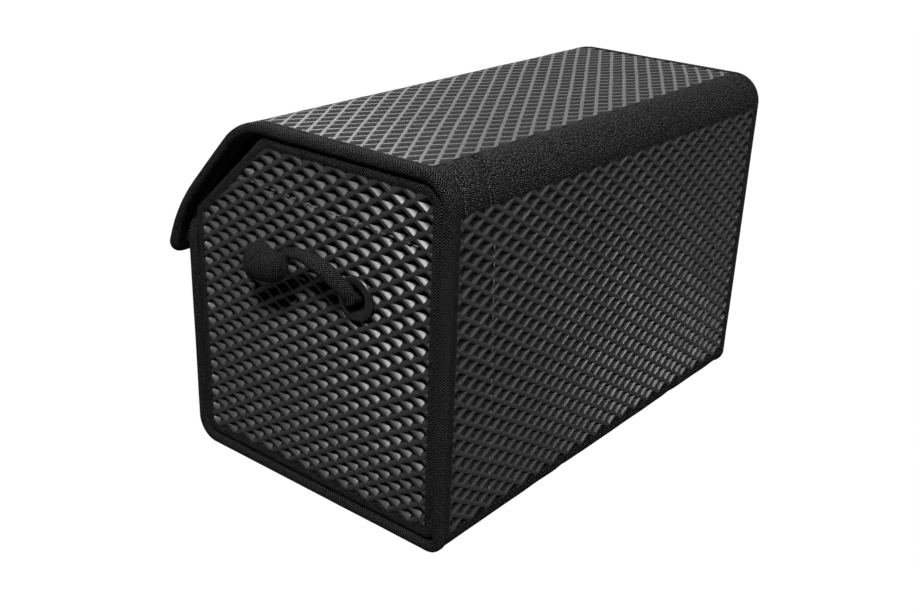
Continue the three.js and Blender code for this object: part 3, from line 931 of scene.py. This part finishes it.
def tape_around(name, body, open_end, bound_end, seed, *nodes):
    """Tape along one side, across the bound edge and back along the other side."""
    ahead = 1 if bound_end > open_end else -1
    turn_at = bound_end - ahead * (TAPE_LEG + CLEAR)
    sides = {}
    for side in (1, -1):
        low, high = sorted((open_end, turn_at))
        rows = tape_run(side, low, high, seed + side)
        rows = rows if ahead > 0 else rows[::-1]
        sides[side] = rows[:-1] + tape_corner(side, bound_end, ahead, seed + side)
    across = [bead_row(FOAM_HALF - 2 * FOAM_HALF * k / 24, bound_end, 0, -ahead, seed)
              for k in range(1, 24)]
    rows = sides[1] + across + sides[-1][::-1]
    if ahead > 0:
        rows = [list(row) for row in rows[::-1]]
    ribbon = lay_ribbon(name, rows, TAPE_THICK, centre=BEAD_CREST)
    faces_out(ribbon)
    place_piece(ribbon, name, body, tape, "binding_tape", *nodes)


HINGE_FROM = START["hinge_corner"] - HINGE_BELOW
HINGE_TO = START["lid_top"]
tape_around("body_tape", "body", HINGE_FROM - CLEAR / 2, 0, 11, "body_binding")
tape_around("lid_tape", "lid", HINGE_TO + CLEAR / 2, TIP, 13, "lid_binding")

bend_from = on_strip(0, HINGE_FROM, 5)
bend_to = on_strip(0, HINGE_TO, 5)
for side, word in ((1, "right"), (-1, "left")):
    rows = tape_run(side, HINGE_FROM + CLEAR / 2, HINGE_TO - CLEAR / 2, 12 + side)[::-side]
    ribbon = lay_ribbon(f"{word}_hinge_tape", rows, TAPE_THICK, centre=BEAD_CREST)
    faces_out(ribbon)
    place_piece(ribbon, f"{word}_hinge_tape", None, tape, "binding_tape", f"{word}_hinge_binding")
    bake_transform(ribbon)

# %% [markdown]
# The end panels carry their own tape all round. It is flatter: seen from outside it is a dark
# flat border between the bead and the cells. Its rows follow the outline helper of the ends, and
# the ribbon is closed into a ring, since the real tape starts and ends inside the box.

# %% Tape round the ends
FLAT_TAPE = [
    (9.0, 0.7), (8.2, 0.7), (7.4, 0.25), (6.0, 0.0), (3.6, 0.05), (1.9, 0.5), (0.7, 1.5),
    (0.1, 3.0), (0.1, 6.0), (0.7, 7.5), (1.9, 8.5), (3.6, 9.0), (6.4, 9.0), (9.0, 9.0),
]


def end_tape(side, word):
    outline = end_outline(0)
    points = []
    for (point, way), (following, next_way) in zip(outline, outline[1:] + outline[:1]):
        count = max(1, math.ceil((following - point).length / 25))
        points += [(point.lerp(following, k / count), way.lerp(next_way, k / count).normalized())
                   for k in range(count)]
    points.append(points[0])
    rows = [[at_end(side, point.x - way.x * reach, point.y - way.y * reach, depth)
             for reach, depth in FLAT_TAPE] for point, way in points[::side]]
    ribbon = lay_ribbon(f"{word}_end_tape", rows, TAPE_THICK, centre=5, closed=True)
    faces_out(ribbon)
    place_piece(ribbon, f"{word}_end_tape", "body", tape, "binding_tape", f"{word}_end_binding")


for side, word in ((1, "right"), (-1, "left")):
    end_tape(side, word)

# %% [markdown]
# The lid hangs on a band of cloth sewn to the rear panel and to the lid. It is slack, so it has
# two sharp creases by its near end and soft waves elsewhere. A grid is laid on the strip and its
# depth is pushed in along each crease. A narrower band closes the bottom edge at the rear.

# %% Cloth bands
creases = [(214, 225, 3.0, 2.4), (183, 196, 4.0, 2.6), (114, 106, 0.7, 6.0), (-38, -50, 0.8, 7.0),
           (-142, -132, 0.9, 6.0), (-204, -214, 1.3, 4.5)]


def cloth_band(name, low_s, high_s, node, folds, seed):
    rows = []
    for s in fine_cuts(low_s, high_s, 4.0):
        share = (s - low_s) / (high_s - low_s)
        row = []
        for k in range(161):
            x = FOAM_HALF - 2 * FOAM_HALF * k / 160
            depth = 0.9 + 0.35 * noise.noise(Vector((x / 30, s / 18, seed)))
            for top_x, low_x, deep, wide in folds:
                line_x = low_x + (top_x - low_x) * share
                near = math.exp(-(((x - line_x) / wide) ** 2))
                depth += deep * near * (0.5 + 0.5 * math.sin(math.pi * share))
            row.append(on_strip(x, s, depth))
        rows.append(row)
    band = lay_ribbon(name, rows, 0.8, centre=80)
    faces_out(band)
    place_piece(band, name, None, oxford, "oxford_cloth", node)
    return band


hinge = cloth_band(
    "hinge_cloth", CLOTH_FROM + CLEAR, HINGE_TO - CLEAR / 2, "hinge_band", creases, 4)
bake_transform(hinge)
dents = [(60, 70, 0.6, 8), (-130, -120, 0.6, 8)]
bottom = cloth_band("bottom_cloth", BAND_FROM + CLEAR, BAND_TO - CLEAR, "bottom_band", dents, 9)
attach(bottom, "body")

# %% [markdown]
# Behind the bottom band lie the folded edges of both sheets and of the band, sewn together. One
# thick ribbon stands for them and closes the corner, so that no daylight comes through.

# %% Seam allowance
UNDER_BAND = 2.4
ALLOWANCE_THICK = 7.2
rows = [[on_strip(x, s, UNDER_BAND) for x in (FOAM_HALF, 0, -FOAM_HALF)]
        for s in fine_cuts(BAND_FROM + 0.5, BAND_TO - 0.5)]
allowance = lay_ribbon("seam_allowance", rows, ALLOWANCE_THICK, centre=1)
faces_out(allowance)
place_piece(allowance, "seam_allowance", "body", oxford, "oxford_cloth")


# %% [markdown]
# The lid closes on two strips of hook and loop tape: hooks inside the flap, loops on the front.
# Thousands of real hooks would only be seen from a few centimetres, so fine noise in the mesh
# makes the face and the edge uneven, and the nap finish does the rest.

# %% Closure strips
CLOSURE_HALF = 150
CLOSURE_WIDTH = 30
CLOSURE_FROM_EDGE = 15
CLOSURE_THICK = 1.2


def closure(name, body, low_s, top):
    rows = []
    for k in range(13):
        s = low_s + 0.5 + (CLOSURE_WIDTH - 1) * k / 12
        row = []
        for i in range(121):
            x = CLOSURE_HALF - 0.5 - (2 * CLOSURE_HALF - 1) * i / 120
            pile = 0.2 * noise.noise(Vector((x / 4, s / 4, low_s)))
            edge = 0.4 if k in (0, 12) or i in (0, 120) else 0
            row.append(on_strip(x, s, top + 0.2 + pile + edge))
        rows.append(row)
    strip = lay_ribbon(name + "_pile", rows, CLOSURE_THICK, centre=60)
    faces_out(strip)
    place_piece(strip, name + "_pile", body, nap, "closure_tape", name)


closure("front_loop_strip", "body", CLOSURE_FROM_EDGE, -CLEAR - 1.6)
closure("lid_hook_strip", "lid", TIP - CLOSURE_FROM_EDGE - CLOSURE_WIDTH, SHEET + CLEAR)

# %% [markdown]
# An eyelet is a moulded ring with a rolled flange and a neck that goes through the foam. A torus
# would be too plain for it, so its section is drawn as a chain of points and spun round the
# hole, as on a lathe. The washer inside is spun in the same way.

# %% Eyelets and washers
def spun(name, side, u, section):
    mesh = bpy.data.meshes.new(name)
    count = len(section)
    points = [at_end(side, u + radius, EYELET_HEIGHT, depth) for radius, depth in section]
    mesh.from_pydata(points, [(i, (i + 1) % count) for i in range(count)], [])
    ring = bpy.data.objects.new(name, mesh)
    bpy.context.collection.objects.link(ring)
    editing(ring)
    bpy.ops.mesh.spin(
        steps=64, angle=2 * math.pi, center=at_end(side, u, EYELET_HEIGHT), axis=(1, 0, 0))
    bpy.ops.mesh.select_all(action="SELECT")
    bpy.ops.mesh.remove_doubles(threshold=0.01 * MM)
    bpy.ops.mesh.normals_make_consistent(inside=False)
    done_editing()
    alone(ring)
    bpy.ops.object.shade_smooth_by_angle(angle=math.radians(40))
    return ring


FLANGE = [
    (10.0, 12.2), (10.0, 1.5), (10.15, -0.9), (10.7, -2.1), (11.8, -2.85), (13.4, -3.1),
    (15.6, -2.9), (17.4, -2.2), (18.3, -1.2), (18.5, -0.3), (12.0, -0.3), (12.0, 12.2),
]
WASHER = [
    (12.3, 10.3), (16.0, 10.3), (16.5, 10.8), (16.5, 11.7), (15.8, 12.5), (13.2, 12.6),
    (12.3, 12.3),
]
for side, word in ((1, "right"), (-1, "left")):
    for where, u in zip(("front", "rear"), EYELET_PLACES):
        ring = spun(f"{word}_{where}_eyelet_ring", side, u, FLANGE)
        place_piece(ring, ring.name, "body", plastic, "eyelet_plastic", f"{word}_{where}_eyelet")
        ring = spun(f"{word}_{where}_washer_ring", side, u, WASHER)
        place_piece(ring, ring.name, "body", plastic, "eyelet_plastic", f"{word}_{where}_washer")

# %% [markdown]
# The handle is webbing curled into a tube where it goes through an eyelet. Outside it opens to a
# round lobe at the front and stays half curled, leaning over, on its way to the rear. Each
# station gives the way along, the stand-off, the rise, the lean, how far it is curled and how
# wide it is, for it is pinched narrow where the lobe ends. A cloth simulation would find such a
# shape too, but never the same one as in the photo.

# %% Handles
STRAP_THICK = 2.0
loop = [
    (-1.00, -13.0, 0.0, 90, 270, 33), (-1.00, -6.0, 0.0, 90, 270, 34),
    (-1.00, 1.0, 0.0, 90, 255, 35), (-1.12, 6.0, 0.8, 90, 190, 35),
    (-1.12, 11.5, 2.8, 90, 140, 35), (-1.09, 16.5, 5.4, 90, 108, 35),
    (-1.01, 20.8, 7.8, 90, 92, 35), (-0.88, 23.4, 9.6, 90, 86, 35),
    (-0.70, 24.8, 10.8, 92, 82, 35), (-0.53, 25.0, 11.8, 92, 84, 35),
    (-0.39, 24.4, 13.0, 94, 92, 35), (-0.30, 23.6, 15.4, 100, 118, 33),
    (-0.23, 22.6, 20.0, 110, 176, 29), (-0.16, 21.6, 25.6, 120, 246, 25),
    (-0.07, 20.8, 29.6, 128, 288, 24), (0.05, 20.0, 31.2, 132, 300, 25),
    (0.20, 19.4, 31.6, 134, 300, 28), (0.36, 19.2, 30.6, 134, 298, 31),
    (0.52, 19.0, 28.6, 132, 296, 33), (0.68, 18.4, 25.2, 128, 294, 34),
    (0.82, 17.0, 20.2, 122, 294, 34), (0.93, 14.4, 14.2, 114, 296, 33),
    (1.02, 10.8, 8.4, 105, 300, 32), (1.07, 6.8, 3.6, 97, 304, 31),
    (1.07, 3.2, 0.8, 92, 308, 30), (0.95, 0.6, -1.0, 90, 315, 30),
    (0.95, -6.0, -1.0, 90, 315, 30), (1.00, -13.0, 0.0, 90, 270, 33),
]


def handle(side, word):
    spine = []
    for span, stand, rise, *_ in loop:
        u = EYELET_MIDDLE + span * EYELET_SPACING / 2
        spine.append(Vector((side * stand, u, EYELET_HEIGHT + rise)))
    rows = []
    for i, (_, stand, _, lean, curl, wide) in enumerate(loop):
        ahead = (spine[min(i + 1, len(loop) - 1)] - spine[max(i - 1, 0)]).normalized()
        tilt = math.radians(lean)
        width_way = Vector((side * math.cos(tilt), 0, math.sin(tilt)))
        width_way = (width_way - ahead * width_way.dot(ahead)).normalized()
        face = ahead.cross(width_way) * side
        bend = math.radians(curl)
        radius = wide / bend
        inside = radius if stand < 3 else 0
        row = []
        for k in range(17):
            swing = bend * (k / 16 - 0.5)
            row.append(
                spine[i] + width_way * radius * math.sin(swing)
                + face * (radius * math.cos(swing) - radius + inside))
        rows.append([at_end(side, p.y, p.z, -side * p.x) for p in row])
    ribbon = lay_ribbon(f"{word}_webbing", rows[::-side], STRAP_THICK, centre=8)
    soften = ribbon.modifiers.new("soften", "SUBSURF")
    soften.levels = soften.render_levels = 2
    apply_modifiers(ribbon)
    faces_out(ribbon)
    place_piece(ribbon, f"{word}_webbing", "body", webbing, "webbing", f"{word}_handle")


# %% [markdown]
# Inside the box each end of the webbing is rolled over and sewn into a stop, too thick to slip
# back through the washer. The roll is a ribbon laid on a spiral, which keeps the weave and shows
# its layers at the cut edge, as a solid bar would not.

# %% Stops on the webbing
STOP_DEPTH = 16.4
STOP_WIDTH = 33


def stop(side, word, where, u):
    rows = []
    for k in range(27):
        turned = 2.6 * math.pi * k / 26
        radius = 3.6 - 2.2 * k / 26
        middle_u = u + radius * math.sin(turned)
        depth = STOP_DEPTH - radius * math.cos(turned)
        rows.append([at_end(side, middle_u, EYELET_HEIGHT + STOP_WIDTH * share, depth)
                     for share in (-0.5, -0.25, 0, 0.25, 0.5)])
    roll = lay_ribbon(f"{word}_{where}_stop", rows[::-side], 1.3, centre=2)
    faces_out(roll)
    place_piece(roll, roll.name, "body", webbing, "webbing")


for side, word in ((1, "right"), (-1, "left")):
    handle(side, word)
    for where, u in zip(("front", "rear"), EYELET_PLACES):
        stop(side, word, where, u)

# %% [markdown]
# Two rows of thread show on the foam: one down the rear panel beside each end and one across
# each end panel, where the panels are sewn to each other inside. One sphere of few faces is
# stretched into each stitch, half sunk in the foam, and a row is joined into one piece.

# %% Stitches
THREAD_WIDE = 1.2
THREAD_HIGH = 1.0


def stitch_row(name, places):
    """Short strands of thread, one for each pair of points in metres."""
    strands = []
    for a, b, out in places:
        bpy.ops.mesh.primitive_uv_sphere_add(segments=6, ring_count=5, radius=0.5)
        strand = bpy.context.object
        run = b - a
        flat = run.normalized()
        across = out.cross(flat).normalized()
        axes = (flat * run.length, across * THREAD_WIDE * MM, out * THREAD_HIGH * MM)
        turn = Matrix(axes).transposed().to_4x4()
        strand.data.transform(Matrix.Translation((a + b) / 2) @ turn)
        strands.append(strand)
    bpy.ops.object.select_all(action="DESELECT")
    for strand in strands:
        strand.select_set(True)
    bpy.context.view_layer.objects.active = strands[0]
    bpy.ops.object.join()
    row = bpy.context.object
    bpy.ops.object.shade_smooth()
    faces_out(row)
    place_piece(row, name, "body", thread, "oxford_cloth")


for side, word in ((1, "right"), (-1, "left")):
    places = []
    for k in range(16):
        z = 246 - CELL_SHORT * k
        x = side * (177 + (z - 24) * 0.045)
        s = START["rear"] + z - REAR_CORNER
        a = on_strip(x + side * 0.15, s + 3.4, 0.5)
        b = on_strip(x - side * 0.15, s - 3.4, 0.5)
        places.append((a, b, Vector((0, 1, 0))))
    stitch_row(f"{word}_rear_stitches", places)
    places = []
    for k in range(24):
        u = 72 + k * 7.8
        z = 261.3 - (u - 71) * 0.053
        a = at_end(side, u, z, 0.6)
        b = at_end(side, u + 6.0, z - 0.32, 0.6)
        places.append((a, b, Vector((side, 0, 0))))
    stitch_row(f"{word}_end_stitches", places)

# %% [markdown]
# Last, the size of the solids and of the visual model are printed side by side.

# %% Size and end
size = {"cad": cad_box, "visual": [list(corner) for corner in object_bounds()]}
print(size)
